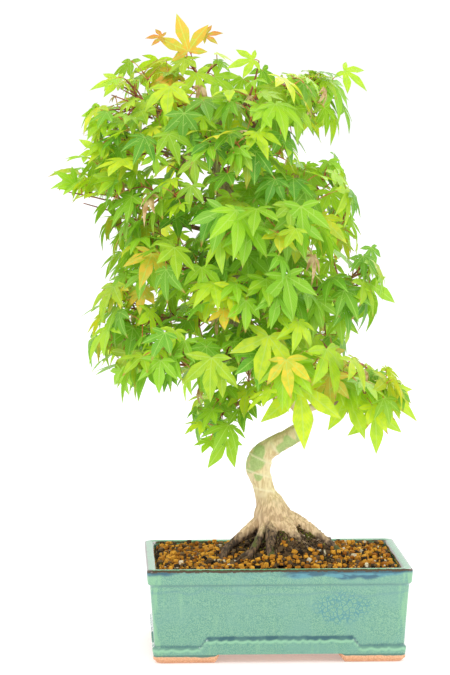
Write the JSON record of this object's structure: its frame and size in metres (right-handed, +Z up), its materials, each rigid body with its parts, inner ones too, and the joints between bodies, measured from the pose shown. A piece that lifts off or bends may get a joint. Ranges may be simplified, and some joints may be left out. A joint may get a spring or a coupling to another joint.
{
  "type": "potted maple bonsai",
  "caption": "Small maple tree with a curved trunk, surface roots and lobed leaves, growing in a glazed rectangular pot on four corner feet.",
  "frame": {"origin": "on the table, under the middle of the whole object's box", "axes": "+Z up; +X along the long side of the pot, to the right as seen from the front; the front faces -Y"},
  "size_m": [0.2962, 0.2259, 0.5018],
  "materials": {
    "glaze": "glossy turquoise-green glaze over brown stoneware, bare terracotta feet",
    "clay_granules": "matt fired clay granules with dark and pale grains",
    "bark": "smooth pale bark with green patches",
    "leaf": "thin satin leaf, light passes through it",
    "young_leaf": "thin orange to yellow-green young leaf",
    "netting": "matt black plastic netting",
    "wire": "soft satin wire"
  },
  "bodies": {
    "root": {"drain_mesh_left": "netting", "drain_mesh_right": "netting", "mesh_clip_left": "wire", "mesh_clip_right": "wire", "pot": "glaze", "shoot_apex_1": "young_leaf", "shoot_apex_2": "young_leaf", "shoot_apex_3": "young_leaf", "shoot_back_left_1": "leaf", "shoot_back_low_1": "leaf", "shoot_back_mid_1": "leaf", "shoot_back_mid_2": "leaf", "shoot_back_top_1": "leaf", "shoot_back_top_2": "leaf", "shoot_back_upper_1": "leaf", "shoot_back_upper_2": "leaf", "shoot_front_low_1": "leaf", "shoot_front_low_2": "leaf", "shoot_front_mid_1": "leaf", "shoot_front_mid_2": "leaf", "shoot_front_top_1": "leaf", "shoot_front_top_2": "leaf", "shoot_front_upper_1": "leaf", "shoot_front_upper_2": "leaf", "shoot_hanging_1": "leaf", "shoot_hanging_2": "leaf", "shoot_left_front_1": "leaf", "shoot_left_front_low_1": "leaf", "shoot_left_front_low_2": "leaf", "shoot_left_front_upper_1": "leaf", "shoot_left_low_1": "leaf", "shoot_left_low_2": "leaf", "shoot_left_low_3": "leaf", "shoot_left_mid_1": "leaf", "shoot_left_mid_2": "leaf", "shoot_left_top_1": "leaf", "shoot_left_top_2": "leaf", "shoot_left_upper_1": "leaf", "shoot_left_upper_2": "leaf", "shoot_right_low_1": "leaf", "shoot_right_low_2": "leaf", "shoot_right_low_3": "leaf", "shoot_right_low_back_1": "leaf", "shoot_right_low_back_2": "leaf", "shoot_right_mid_1": "leaf", "shoot_right_mid_2": "leaf", "shoot_right_mid_back_1": "leaf", "shoot_right_mid_back_2": "leaf", "shoot_right_top_1": "leaf", "shoot_right_top_2": "leaf", "shoot_right_top_front_1": "leaf", "shoot_right_top_front_2": "leaf", "shoot_right_upper_1": "leaf", "shoot_right_upper_2": "leaf", "soil": "clay_granules", "trunk": "bark"}
  },
  "joints": []
}
